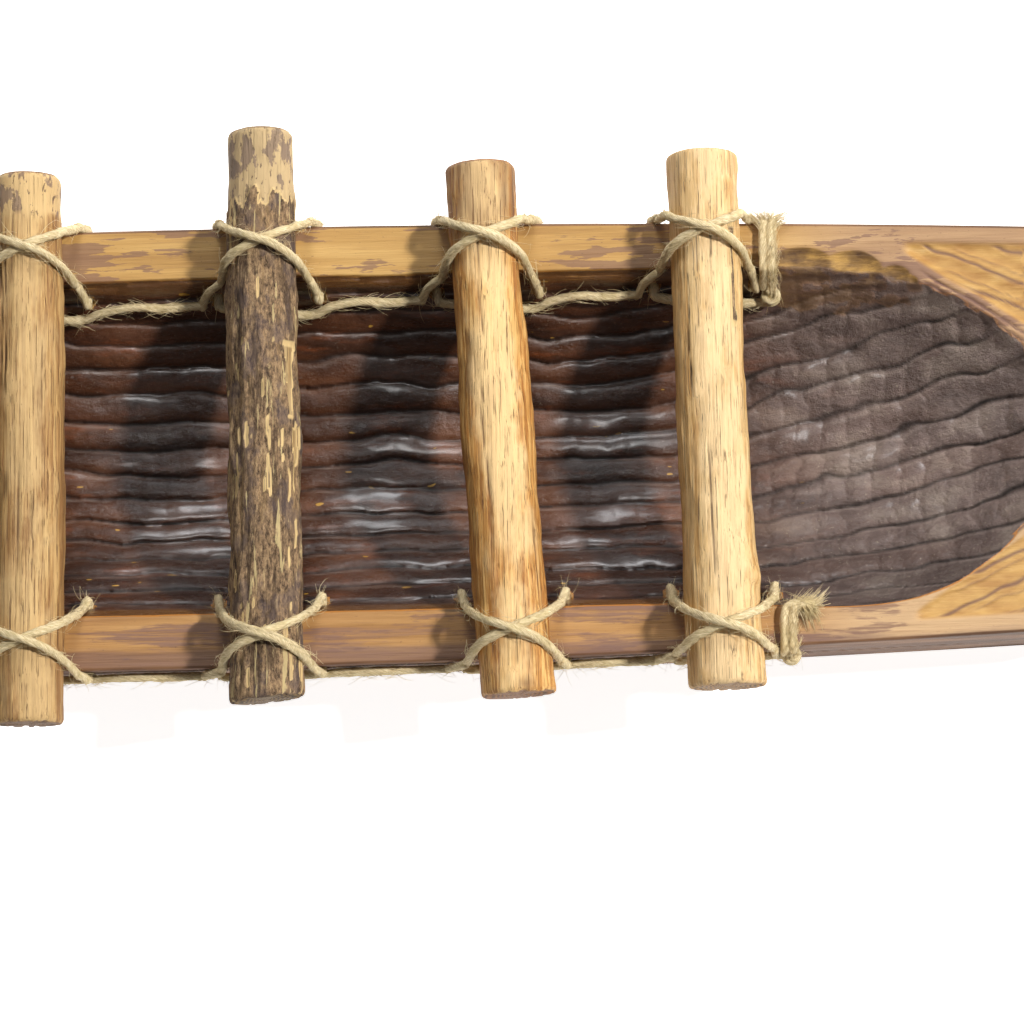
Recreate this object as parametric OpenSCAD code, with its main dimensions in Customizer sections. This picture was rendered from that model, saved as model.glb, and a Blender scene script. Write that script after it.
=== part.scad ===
// Dug-out wooden toboggan: one hollowed log hull, six branch rungs seated across
// its rails, and one twine lashing along each rail.
// X runs along the hull, +Y is the far rail, Z is up. The origin is the middle of the flat sole.

/* [Hull] */
// Overall length of the hull
hull_length = 1120; // [940:10:1350]
// Overall width at the middle
hull_width = 224; // [186:2:270]
// Height from the sole to the top of the rails
hull_height = 76; // [64:1:92]
// Width of each rail at the middle
rail_width = 27; // [22:1:33]
// Thickness of the floor under the middle of the hollow
floor_thickness = 22; // [18:1:27]
// Radius of the slight outward curve of the sides
side_radius = 10000; // [8000:500:12000]
// Length of the deck between the hollow and the tip of each nose
deck_length = 113; // [94:1:136]
// Height of the nose's lower edge above the ground
nose_rise = 40; // [33:1:48]
// Length of the upswept stretch of the sole at each end
upsweep_length = 200; // [166:2:240]
// Radius of the rounded lower edges
bilge_radius = 34; // [28:1:41]
// Length of each end of the hollow where its floor climbs to the rim
ramp_length = 145; // [120:5:175]

/* [Rungs] */
// Distance between neighbouring rungs
rung_pitch = 114; // [95:1:137]
// Usual diameter of a rung
rung_diameter = 35; // [29:0.5:42]
// Depth of the saddle that a rung sits in
saddle_depth = 6; // [5:0.5:7.5]
// Gap all round a rung in its saddle
saddle_gap = 0.25; // [0.2:0.05:0.3]
// Length of the bevel at a rung's sawn ends
rung_bevel = 2; // [1.5:0.5:2.5]

/* [Lashing] */
// Diameter of the twine
twine_diameter = 5; // [4:0.5:6]
// How much wider a lashing hole is than the twine
hole_play = 2.5; // [2:0.5:3]
// Distance of a lashing hole's centre below the rail top
hole_drop = 14; // [12:0.5:17]
// Distance of a lashing hole's centre beyond the side of its rung
hole_spacing = 8.5; // [7:0.5:10]
// Gap between the twine and the wood
twine_gap = 0.5; // [0.4:0.1:0.6]

/* [Hidden] */

RUNG_COUNT = 6;
// One row for each rung, left to right: shift along the hull, lean (how much further right its
// near end lies, in degrees), overhang past the hull at the far end and at the near end, and the
// radius at the far end, in the middle and at the near end, each as a share of the usual radius.
RUNGS = [
    [1, 1.5, 26, 22, 0.97, 1.00, 1.02],
    [-3, -1, 29, 18, 1.00, 1.00, 0.97],
    [-2, 0, 26, 27, 0.97, 1.00, 1.00],
    [2, 0, 46, 19, 0.96, 1.00, 1.03],
    [5, 3, 26, 18, 0.97, 1.00, 1.04],
    [-2, 1.5, 28, 16, 1.00, 0.97, 1.12],
];

half_length = hull_length / 2;
half_width = hull_width / 2;
hollow_half = half_width - rail_width;
hollow_depth = hull_height - floor_thickness;
// The nose is a half round, a little narrower than the middle because the sides curve in.
nose_radius = half_width - 8;
rung_radius = rung_diameter / 2;
rung_axis_z = hull_height - saddle_depth + rung_radius;
hole_z = hull_height - hole_drop;
hole_diameter = twine_diameter + hole_play;
hole_offset = rung_radius + hole_spacing;

// The hollow's cross-section is one arc, from rim to rim through the floor.
hollow_radius = (pow(hollow_half, 2) + pow(hollow_depth, 2)) / (2 * hollow_depth);
hollow_axis_z = hull_height - hollow_depth + hollow_radius;
// Each ramp swings that section about a cross axis, so the rim rounds off as an oval.
ramp_radius = (pow(ramp_length, 2) + pow(hollow_depth, 2)) / (2 * hollow_depth);
ramp_start = half_length - deck_length - ramp_length;
ramp_axis_z = hull_height - hollow_depth + ramp_radius;
upsweep_radius = (pow(upsweep_length, 2) + pow(nose_rise, 2)) / (2 * nose_rise);

// Distance from the middle of the hull to the middle of a rail
rail_mid = (half_width + hollow_half) / 2;

twine_radius = twine_diameter / 2;
// Distance of the twine's centre from the wood that it lies on
lay = twine_radius + twine_gap;
hole_bend_radius = (lay + hole_diameter / 2) / 2;
run_z = hole_z - 1.5 * twine_diameter;
knot_radius = 0.9 * twine_diameter;
// How far left of a left-hand hole the twine climbs to the rim
approach = 1.6 * twine_diameter;

$fn = 96;
SIDE_FN = 256;
TWINE_SIDES = 8;
SPARE = 1;

function rung_x(k) = (k - (RUNG_COUNT - 1) / 2) * rung_pitch + RUNGS[k][0];

// Centre of a rung at a place across the hull, which its lean moves along the hull
function lean_x(k, y) = rung_x(k) - y * tan(RUNGS[k][1]);

// Where a rung crosses the middle of a rail: rail is 1 for the far one and -1 for the near one
function rail_x(k, rail) = lean_x(k, rail * rail_mid);

// Radius of a rung at a place across the hull
function rung_size(k, y) =
    let (
        reach = half_width + RUNGS[k][y > 0 ? 2 : 3],
        end_share = RUNGS[k][y > 0 ? 4 : 6],
        mid_share = RUNGS[k][5]
    )
    rung_radius * (mid_share + (end_share - mid_share) * abs(y) / reach);

// Half-width of the hull at a place along it
function side_y(x) = half_width - side_radius + sqrt(pow(side_radius, 2) - x * x);

// Half-width of the hollow at a place along it and a height, or of the surface that lies
// inset within it
function wall_y(x, z, inset = 0) =
    let (
        along = max(0, abs(x) - ramp_start),
        drop = norm([along, ramp_axis_z - z]) - ramp_radius + hollow_radius
    )
    sqrt(pow(hollow_radius - inset, 2) - pow(drop, 2));

// ---- hull ----

module plan_outline() {
    intersection() {
        translate([0, half_width - side_radius, 0])
            cylinder(h = hull_height, r = side_radius, $fn = SIDE_FN);
        translate([0, side_radius - half_width, 0])
            cylinder(h = hull_height, r = side_radius, $fn = SIDE_FN);
        union() {
            nose_x = half_length - nose_radius;
            translate([-nose_x, -half_width - SPARE, 0])
                cube([2 * nose_x, hull_width + 2 * SPARE, hull_height]);
            for (end = [-1, 1])
                translate([end * nose_x, 0, 0])
                    cylinder(h = hull_height, r = nose_radius);
        }
    }
}

// Everything above the sole, which is flat in the middle and sweeps up towards each nose
module side_outline() {
    flat = half_length - upsweep_length;
    steps = 12;
    sweep = asin(upsweep_length / upsweep_radius);
    right = [
        for (i = [0:steps]) let (a = sweep * i / steps)
            [flat + upsweep_radius * sin(a), upsweep_radius * (1 - cos(a))]
    ];
    left = [for (i = [steps:-1:0]) [-right[i][0], right[i][1]]];
    top = [[half_length + SPARE, nose_rise], [half_length + SPARE, hull_height + SPARE]];
    top_left = [for (i = [1:-1:0]) [-top[i][0], top[i][1]]];
    rotate([90, 0, 0])
        linear_extrude(height = hull_width + 4 * SPARE, center = true)
            polygon(concat(right, top, top_left, left));
}

// Cross-section with rounded lower edges, a little wider than the hull so that its sides stay free
module section_outline() {
    wide = half_width + SPARE;
    rotate([90, 0, 90])
        linear_extrude(height = hull_length + 4 * SPARE, center = true)
            union() {
                translate([-wide + bilge_radius, 0])
                    square([2 * (wide - bilge_radius), hull_height + SPARE]);
                translate([-wide, bilge_radius])
                    square([2 * wide, hull_height - bilge_radius + SPARE]);
                for (side = [-1, 1])
                    translate([side * (wide - bilge_radius), bilge_radius])
                        circle(r = bilge_radius);
            }
}

module hollow_channel() {
    translate([0, 0, hollow_axis_z])
        rotate([0, 90, 0])
            cylinder(h = 2 * ramp_start, r = hollow_radius, center = true);
}

// A quarter turn of the hollow's section, from the end of the channel up through the rim. Only the
// part of its circle below the rim is swept, so that it stays clear of the axis it swings about.
module hollow_ramp() {
    translate([ramp_start, 0, ramp_axis_z])
        rotate([90, 90, 0])
            rotate_extrude(angle = 90)
                translate([ramp_radius - hollow_radius, 0])
                    intersection() {
                        circle(r = hollow_radius);
                        translate([hollow_radius - hollow_depth - SPARE, -hollow_radius])
                            square([hollow_depth + 2 * SPARE, 2 * hollow_radius]);
                    }
}

// One hole each side of every rung, through each rail from the hollow to the outer side
module lashing_holes() {
    inside = wall_y(0, hole_z) - 2 * hole_diameter;
    for (k = [0:RUNG_COUNT - 1], rail = [-1, 1], side = [-1, 1])
        translate([rail_x(k, rail) + side * hole_offset, rail * inside, hole_z])
            rotate([-rail * 90, 0, 0])
                cylinder(h = half_width + SPARE - inside, d = hole_diameter);
}

module hull() {
    color("#8a5a34")
        difference() {
            intersection() {
                plan_outline();
                side_outline();
                section_outline();
            }
            hollow_channel();
            hollow_ramp();
            mirror([1, 0, 0]) hollow_ramp();
            lashing_holes();
            for (k = [0:RUNG_COUNT - 1])
                rung_shape(k, saddle_gap);
        }
}

// ---- rungs ----

// A branch pole with bevelled sawn ends, turned about its own length
module rung_shape(k, grow = 0) {
    far = half_width + RUNGS[k][2];
    near = half_width + RUNGS[k][3];
    r_far = rung_radius * RUNGS[k][4] + grow;
    r_mid = rung_radius * RUNGS[k][5] + grow;
    r_near = rung_radius * RUNGS[k][6] + grow;
    translate([rung_x(k), 0, rung_axis_z])
        rotate([0, 0, RUNGS[k][1]])
            rotate([90, 0, 0])
                rotate_extrude()
                    polygon([
                        [0, -far], [r_far - rung_bevel, -far], [r_far, -far + rung_bevel],
                        [r_mid, 0],
                        [r_near, near - rung_bevel], [r_near - rung_bevel, near], [0, near]
                    ]);
}

module rung(k) {
    tones = ["#c79a5c", "#b98d55", "#b98a50", "#6f5b48", "#cb9a55", "#d9b57c"];
    color(tones[k]) rung_shape(k);
}

// ---- lashing ----
// The far rail's twine runs along the inner face of its rail and the near rail's along the outer
// face. At each rung it climbs over the rail and the rung, drops down the other face, comes back
// through the right-hand hole, crosses over the rung again, and comes back through the left-hand
// hole. A route's place is [x, distance from the middle of the hull, z, radius].

// Distance of the twine's centre from the middle of the hull, where it lies on a rail's face
function on_face(inner, x, z) = inner ? wall_y(x, z, lay) : side_y(x) + lay;

function face_place(inner, x, z) = [x, on_face(inner, x, z), z, twine_radius];

// The twine bent over a rail's upper edge, from the face (turn 0) to the top (turn 90)
function rim_place(inner, x, turn) =
    let (out = (inner ? -1 : 1) * lay * cos(turn))
    [
        x,
        (inner ? wall_y(x, hull_height) : side_y(x)) + out,
        hull_height + lay * sin(turn),
        twine_radius
    ];

// Sideways distance off a rail's face that keeps the twine one hole bend radius off the wood,
// for the hollow's wall leans back from upright
function stand_off(inner, edge) = hole_bend_radius * (inner ? -hollow_radius / edge : 1);

// The twine bent over the upper edge of a hole, from the face (turn 0) to inside (turn 90)
function hole_bend(inner, x, turn) =
    let (
        edge_z = hole_z + hole_diameter / 2,
        edge = inner ? wall_y(x, edge_z) : side_y(x),
        out = stand_off(inner, edge) * cos(turn)
    )
    [x, edge + out, edge_z - hole_bend_radius * sin(turn), twine_radius];

// The twine bent round the right-hand edge of the left-hand hole, from inside to along the face
function hole_turn(inner, x, turn) =
    let (
        edge_x = x + hole_diameter / 2,
        edge = inner ? wall_y(edge_x, hole_z) : side_y(edge_x),
        out = stand_off(inner, edge) * sin(turn)
    )
    [edge_x - hole_bend_radius * cos(turn), edge + out, hole_z, twine_radius];

// One diagonal over a rung, from its left (way 1) or its right (way -1), starting at the rail's
// run side; rise lifts the middle of the second diagonal over the first
function over_rung(k, rail, inner, way, rise) =
    let (
        to_other = inner ? 1 : -1,
        half_spread = 0.45 * (half_width - hollow_half)
    )
    [for (a = [162:-18:18])
        let (
            out = rail_mid + to_other * half_spread * (90 - a) / 90,
            lift = rise * max(0, 1 - pow((a - 90) / 42, 2)),
            radius = rung_size(k, rail * out) + lay + lift
        )
        [
            lean_x(k, rail * out) + way * radius * cos(a) / cos(RUNGS[k][1]),
            out,
            rung_axis_z + radius * sin(a),
            twine_radius
        ]
    ];

function rung_lashing(k, rail, inner) =
    let (
        x = rail_x(k, rail),
        left_hole = x - hole_offset,
        right_hole = x + hole_offset,
        rim_offset = rung_size(k, rail * rail_mid) + twine_diameter,
        high = hull_height - 1.2 * twine_diameter
    )
    concat(
        [
            face_place(inner, left_hole - approach, hole_z),
            face_place(inner, left_hole - approach / 2, high),
            rim_place(inner, x - rim_offset - 1, 20),
            rim_place(inner, x - rim_offset, 65)
        ],
        over_rung(k, rail, inner, 1, 0),
        [
            rim_place(!inner, x + rim_offset, 65),
            rim_place(!inner, x + rim_offset + 1, 20),
            face_place(!inner, right_hole - 1, high)
        ],
        [for (turn = [0, 45, 90]) hole_bend(!inner, right_hole, turn)],
        [for (turn = [90, 45, 0]) hole_bend(inner, right_hole, turn)],
        [
            face_place(inner, right_hole - 1, high),
            rim_place(inner, x + rim_offset + 1, 20),
            rim_place(inner, x + rim_offset, 65)
        ],
        over_rung(k, rail, inner, -1, 1.15 * twine_diameter),
        [
            rim_place(!inner, x - rim_offset, 65),
            rim_place(!inner, x - rim_offset - 1, 20),
            face_place(!inner, left_hole + 1, high)
        ],
        [for (turn = [0, 45, 90]) hole_bend(!inner, left_hole, turn)],
        [for (turn = [0, 45, 90]) hole_turn(inner, left_hole, turn)],
        [
            face_place(inner, x - hole_offset / 2, (hole_z + run_z) / 2),
            face_place(inner, x, run_z),
            face_place(inner, x + hole_offset / 2, run_z),
            face_place(inner, right_hole - twine_radius, run_z)
        ]
    );

// The free end beyond an end rung: a knot on the face, then across the rail top by steps, each
// a distance along the hull and a share of the rail's width
function tail(at, side, inner, across) =
    let (
        swell = knot_radius - twine_radius,
        knot_out = (inner ? -1 : 1) * swell,
        knot = face_place(inner, at, hole_z - 1) + [0, knot_out, 0, swell],
        bulge = 0.8 * [0, knot_out, 0, swell]
    )
    concat(
        [
            face_place(inner, at - side * 1.2 * twine_diameter, run_z),
            face_place(inner, at - side * 0.4 * twine_diameter, run_z + 1) + bulge / 4,
            knot,
            face_place(inner, at, hull_height - 0.65 * hole_drop) + bulge,
            face_place(inner, at, hull_height - 0.35 * hole_drop),
            rim_place(inner, at, 20),
            rim_place(inner, at, 65)
        ],
        [for (step = across) [
            at + side * step[0],
            rail_mid + (inner ? 1 : -1) * step[1] * rail_width,
            hull_height + lay,
            twine_radius
        ]]
    );

function reversed(list) = [for (i = [len(list) - 1:-1:0]) list[i]];

function lashing_route(rail, inner, across) =
    let (
        last = RUNG_COUNT - 1,
        clear = hole_offset + knot_radius + twine_radius + twine_gap,
        first_x = rail_x(0, rail) - clear - 1.4 * approach,
        last_x = rail_x(last, rail) + clear
    )
    concat(
        reversed(tail(first_x, -1, inner, across)),
        [for (k = [0:last]) each concat(
            rung_lashing(k, rail, inner),
            k < last ? span(k, rail, inner) : []
        )],
        tail(last_x, 1, inner, across)
    );

// The slack run from one rung to the next
function span(k, rail, inner) =
    let (
        from = rail_x(k, rail) + hole_offset,
        to = rail_x(k + 1, rail) - hole_offset
    )
    [for (place = [[0.2, 3.5], [0.4, 6], [0.6, 6], [0.8, 5.5]])
        face_place(inner, from + (to - from) * place[0], run_z + place[1])
    ];

function xyz(place) = [place[0], place[1], place[2]];
function unit(v) = v / norm(v);

// A tube round a route: each ring stands square to the route and carries on the turn of the last
module tube(route) {
    count = len(route);
    along = [
        for (i = [0:count - 1])
            unit(xyz(route[min(i + 1, count - 1)]) - xyz(route[max(i - 1, 0)]))
    ];
    first = unit(cross(along[0], [0, 0.3, 1]));
    across = [
        for (i = 0, n = first; i < count;
            i = i + 1, n = i < count ? unit(n - (n * along[i]) * along[i]) : n) n
    ];
    corners = [
        for (i = [0:count - 1], j = [0:TWINE_SIDES - 1])
            let (a = 360 * j / TWINE_SIDES)
            xyz(route[i]) + route[i][3] * (cos(a) * across[i] + sin(a) * cross(along[i], across[i]))
    ];
    sides = [
        for (i = [0:count - 2], j = [0:TWINE_SIDES - 1])
            let (
                a = i * TWINE_SIDES + j,
                b = i * TWINE_SIDES + (j + 1) % TWINE_SIDES
            )
            each [[a, a + TWINE_SIDES, b], [b, a + TWINE_SIDES, b + TWINE_SIDES]]
    ];
    start = [for (j = [0:TWINE_SIDES - 1]) j];
    end = [for (j = [TWINE_SIDES - 1:-1:0]) (count - 1) * TWINE_SIDES + j];
    polyhedron(corners, concat(sides, [start, end]));
}

module lashing(rail, inner, across) {
    route = lashing_route(rail, inner, across);
    color("#d3c39c")
        tube([for (p = route) [p[0], rail * p[1], p[2], p[3]]]);
}

module far_lashing_cord() {
    lashing(1, true, [[0, -0.22], [0, 0.08], [1, 0.33]]);
}

module near_lashing_cord() {
    lashing(-1, false, [[0, -0.22], [0, 0.08], [2, 0.3], [9, 0.37], [15, 0.3]]);
}

hull();
rung(0);  // rung_1
rung(1);  // rung_2
rung(2);  // rung_3
rung(3);  // rung_4
rung(4);  // rung_5
rung(5);  // rung_6
far_lashing_cord();
near_lashing_cord();
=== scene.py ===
import math

import bpy
import numpy as np
from mathutils import Euler, Matrix, Vector


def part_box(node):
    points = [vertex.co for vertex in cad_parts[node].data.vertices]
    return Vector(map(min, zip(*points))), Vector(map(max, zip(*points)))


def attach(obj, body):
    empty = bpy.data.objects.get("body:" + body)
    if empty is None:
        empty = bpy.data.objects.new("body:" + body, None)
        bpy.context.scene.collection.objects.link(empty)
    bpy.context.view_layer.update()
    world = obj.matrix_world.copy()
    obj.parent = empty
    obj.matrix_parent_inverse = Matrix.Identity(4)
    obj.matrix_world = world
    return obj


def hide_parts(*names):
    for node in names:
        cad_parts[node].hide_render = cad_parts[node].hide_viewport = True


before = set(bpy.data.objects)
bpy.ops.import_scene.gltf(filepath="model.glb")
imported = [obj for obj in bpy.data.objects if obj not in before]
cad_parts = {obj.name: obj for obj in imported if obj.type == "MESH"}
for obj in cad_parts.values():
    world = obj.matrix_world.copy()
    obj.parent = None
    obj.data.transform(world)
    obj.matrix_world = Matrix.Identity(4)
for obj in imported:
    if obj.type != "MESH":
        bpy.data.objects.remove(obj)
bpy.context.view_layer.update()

# Sizes are in millimetres, as a maker would write them, and become metres as a mesh is made.
METRES = 0.001
BODY = "root"

_, hull_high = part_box("hull")
HALF_LENGTH = hull_high.x / METRES
HALF_WIDTH = hull_high.y / METRES
RAIL_TOP = hull_high.z / METRES

# ---- sizes shared with the hull's timberwork ----

RAIL_WIDTH = 27.0
FLOOR_THICKNESS = 22.0
SIDE_RADIUS = 10000.0
NOSE_RISE = 40.0
UPSWEEP_LENGTH = 200.0
BILGE_RADIUS = 34.0
DECK_LENGTH = 113.0
RAMP_LENGTH = 145.0
HOLLOW_HALF = HALF_WIDTH - RAIL_WIDTH
HOLLOW_DEPTH = RAIL_TOP - FLOOR_THICKNESS
HOLLOW_RADIUS = (HOLLOW_HALF**2 + HOLLOW_DEPTH**2) / (2 * HOLLOW_DEPTH)
RAMP_RADIUS = (RAMP_LENGTH**2 + HOLLOW_DEPTH**2) / (2 * HOLLOW_DEPTH)
RAMP_AXIS_Z = RAIL_TOP - HOLLOW_DEPTH + RAMP_RADIUS
RAMP_START = HALF_LENGTH - DECK_LENGTH - RAMP_LENGTH
HOLLOW_END = HALF_LENGTH - DECK_LENGTH
NOSE_RADIUS = HALF_WIDTH - 8
NOSE_START = HALF_LENGTH - NOSE_RADIUS
UPSWEEP_RADIUS = (UPSWEEP_LENGTH**2 + NOSE_RISE**2) / (2 * NOSE_RISE)
RAIL_MID = (HALF_WIDTH + HOLLOW_HALF) / 2

RUNG_PITCH = 114.0
RUNG_RADIUS = 17.5
SADDLE_DEPTH = 6.0
SADDLE_GAP = 0.25
RUNG_AXIS_Z = RAIL_TOP - SADDLE_DEPTH + RUNG_RADIUS
# One row for each rung: shift, lean in degrees, overhang far and near, and the shares of the
# usual radius at the far end, in the middle and at the near end.
RUNGS = [
    (1, 1.5, 26, 22, 0.97, 1.00, 1.02),
    (-3, -1, 29, 18, 1.00, 1.00, 0.97),
    (-2, 0, 26, 27, 0.97, 1.00, 1.00),
    (2, 0, 46, 19, 0.96, 1.00, 1.03),
    (5, 3, 26, 18, 0.97, 1.00, 1.04),
    (-2, 1.5, 28, 16, 1.00, 0.97, 1.12),
]

TWINE = 5.0
TWINE_RADIUS = TWINE / 2
TWINE_LAY = TWINE_RADIUS - 0.15
HOLE_DIAMETER = TWINE + 2.5
HOLE_DROP = 14.0
HOLE_Z = RAIL_TOP - HOLE_DROP
HOLE_OFFSET = RUNG_RADIUS + 8.5
HOLE_BEND = 3.2
RUN_Z = HOLE_Z - TWINE
KNOT_RADIUS = 0.9 * TWINE
APPROACH = 1.6 * TWINE


# ---- camera, lights and floor ----

def look_down(place, turn, lens):
    """A camera above the toboggan, tipped and turned from straight down."""
    data = bpy.data.cameras.new("camera")
    camera = bpy.data.objects.new("camera", data)
    bpy.context.scene.collection.objects.link(camera)
    camera.matrix_world = Matrix.Translation(place) @ Euler(turn, "ZYX").to_matrix().to_4x4()
    data.sensor_width = 36
    data.lens = lens
    data.clip_start = 0.05
    data.clip_end = 50
    bpy.context.scene.camera = camera


def soft_lamp(name, place, target, width, power, warmth):
    """A studio lamp that faces target, square unless it is given another shape."""
    data = bpy.data.lights.new(name, "AREA")
    data.size = width
    data.energy = power
    data.color = warmth
    lamp = bpy.data.objects.new(name, data)
    lamp.location = place
    lamp.rotation_mode = "QUATERNION"
    lamp.rotation_quaternion = (Vector(target) - Vector(place)).to_track_quat("-Z", "Y")
    bpy.context.scene.collection.objects.link(lamp)
    return lamp


CAMERA_PLACE = (0.2512, -0.2904, 1.8)
CAMERA_TURN = (0.1460, 0.0399, -0.0235)
CAMERA_LENS = 123.0
look_down(CAMERA_PLACE, CAMERA_TURN, CAMERA_LENS)


# ---- small tools for making shapes ----

def lattice_noise(seed, u, v):
    """Smooth noise from -1 to 1 over two coordinates, one bump to a unit."""
    table = np.random.default_rng(seed).uniform(-1, 1, (97, 89))
    u = np.asarray(u, float)
    v = np.asarray(v, float)
    iu = np.floor(u).astype(int)
    iv = np.floor(v).astype(int)
    fu = u - iu
    fv = v - iv
    fu = fu * fu * (3 - 2 * fu)
    fv = fv * fv * (3 - 2 * fv)
    low = table[iu % 97, iv % 89] * (1 - fu) + table[(iu + 1) % 97, iv % 89] * fu
    high = table[iu % 97, (iv + 1) % 89] * (1 - fu) + table[(iu + 1) % 97, (iv + 1) % 89] * fu
    return low * (1 - fv) + high * fv


def layered_noise(seed, u, v, layers=3):
    """Several sizes of smooth noise, each half as strong and twice as fine as the last."""
    total = 0
    for layer in range(layers):
        total = total + lattice_noise(seed + 31 * layer, u * 2**layer, v * 2**layer) / 2**layer
    return total


def cell_value(seed, row, column):
    """A steady random number from 0 to 1 for each cell."""
    table = np.random.default_rng(seed).uniform(0, 1, (61, 67))
    return table[np.asarray(row, int) % 61, np.asarray(column, int) % 67]


def ease(value, start, end):
    """0 up to start, 1 from end, and a smooth rise between."""
    share = np.clip((value - start) / (end - start), 0, 1)
    return share * share * (3 - 2 * share)


def soft_min(a, b, width):
    """The smaller of two heights, with the edge between them worn round."""
    overlap = np.maximum(width - np.abs(a - b), 0) / width
    return np.minimum(a, b) - overlap * overlap * width / 4


def solid_mesh(name, corners, faces, masks=None):
    """A named mesh object from corners in millimetres, with one point attribute for each mask."""
    mesh = bpy.data.meshes.new(name)
    mesh.from_pydata((np.asarray(corners) * METRES).tolist(), [], faces)
    mesh.polygons.foreach_set("use_smooth", [True] * len(mesh.polygons))
    for label, values in (masks or {}).items():
        attribute = mesh.attributes.new(label, "FLOAT", "POINT")
        attribute.data.foreach_set("value", np.asarray(values, np.float32).ravel())
    mesh.update()
    made = bpy.data.objects.new(name, mesh)
    bpy.context.scene.collection.objects.link(made)
    return made


def band_faces(rows, columns):
    """Four-sided faces between neighbouring rings of corners."""
    row = np.arange(rows - 1)[:, None]
    column = np.arange(columns)[None, :]
    a = row * columns + column
    b = row * columns + (column + 1) % columns
    quads = np.stack([a, b, b + columns, a + columns], axis=-1)
    return quads.reshape(-1, 4).tolist()


def capped_band(rows, columns):
    """The faces of a closed tube: its band, then a cap on its first ring and on its last."""
    first_cap = list(range(columns))[::-1]
    last_cap = list(range((rows - 1) * columns, rows * columns))
    return band_faces(rows, columns) + [first_cap, last_cap]


def ring_angles(sides):
    return np.arange(sides) * 2 * math.pi / sides


# ---- the lashing twine ----

def rung_x(k):
    return (k - (len(RUNGS) - 1) / 2) * RUNG_PITCH + RUNGS[k][0]


def lean_x(k, y):
    return rung_x(k) - y * math.tan(math.radians(RUNGS[k][1]))


def rail_x(k, rail):
    return lean_x(k, rail * RAIL_MID)


def rung_size(k, y):
    """Radius of a rung at a place across the hull."""
    _, _, far_reach, near_reach, far_share, mid_share, near_share = RUNGS[k]
    reach = HALF_WIDTH + np.where(y > 0, far_reach, near_reach)
    end_share = np.where(y > 0, far_share, near_share)
    return RUNG_RADIUS * (mid_share + (end_share - mid_share) * np.abs(y) / reach)


def side_y(x):
    """Half-width of the hull at a place along it."""
    return HALF_WIDTH - SIDE_RADIUS + math.sqrt(SIDE_RADIUS**2 - x * x)


def wall_y(x, z, inset=0.0):
    """Half-width of the hollow at a place along it and a height."""
    along = max(0.0, abs(x) - RAMP_START)
    drop = math.hypot(along, RAMP_AXIS_Z - z) - RAMP_RADIUS + HOLLOW_RADIUS
    return math.sqrt((HOLLOW_RADIUS - inset) ** 2 - drop**2)


def face_place(inner, x, z):
    """The twine's centre where it lies on a rail's inner or outer face."""
    out = wall_y(x, z, TWINE_LAY) if inner else side_y(x) + TWINE_LAY
    return (x, out, z)


def rim_place(inner, x, turn):
    """The twine bent over a rail's upper edge, from the face to the top."""
    turn = math.radians(turn)
    edge = wall_y(x, RAIL_TOP) if inner else side_y(x)
    out = (-1 if inner else 1) * TWINE_LAY * math.cos(turn)
    return (x, edge + out, RAIL_TOP + TWINE_LAY * math.sin(turn))


def stand_off(inner, edge):
    return HOLE_BEND * (-HOLLOW_RADIUS / edge if inner else 1)


def hole_bend(inner, x, turn):
    """The twine bent over the upper edge of a hole."""
    turn = math.radians(turn)
    edge_z = HOLE_Z + HOLE_DIAMETER / 2
    edge = wall_y(x, edge_z) if inner else side_y(x)
    out = stand_off(inner, edge) * math.cos(turn)
    return (x, edge + out, edge_z - HOLE_BEND * math.sin(turn))


def hole_turn(inner, x, turn):
    """The twine bent round the right-hand edge of the left-hand hole."""
    turn = math.radians(turn)
    edge_x = x + HOLE_DIAMETER / 2
    edge = wall_y(edge_x, HOLE_Z) if inner else side_y(edge_x)
    out = stand_off(inner, edge) * math.sin(turn)
    return (edge_x - HOLE_BEND * math.cos(turn), edge + out, HOLE_Z)


def over_rung(k, rail, inner, way, rise):
    """One diagonal over a rung, from its left or its right."""
    to_other = 1 if inner else -1
    half_spread = 0.45 * (HALF_WIDTH - HOLLOW_HALF)
    places = []
    for degrees in range(162, 17, -18):
        angle = math.radians(degrees)
        out = RAIL_MID + to_other * half_spread * (90 - degrees) / 90
        lift = rise * max(0, 1 - ((degrees - 90) / 42) ** 2)
        radius = rung_size(k, rail * out) + TWINE_LAY + lift
        lean = math.radians(RUNGS[k][1])
        x = lean_x(k, rail * out) + way * radius * math.cos(angle) / math.cos(lean)
        places.append((x, out, RUNG_AXIS_Z + radius * math.sin(angle)))
    return places


def over_rim(inner, x, side, rim):
    """The twine's two places on a rim beside a rung, going up to it."""
    return [rim_place(inner, x + side * (rim + 1), 20), rim_place(inner, x + side * rim, 65)]


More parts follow.
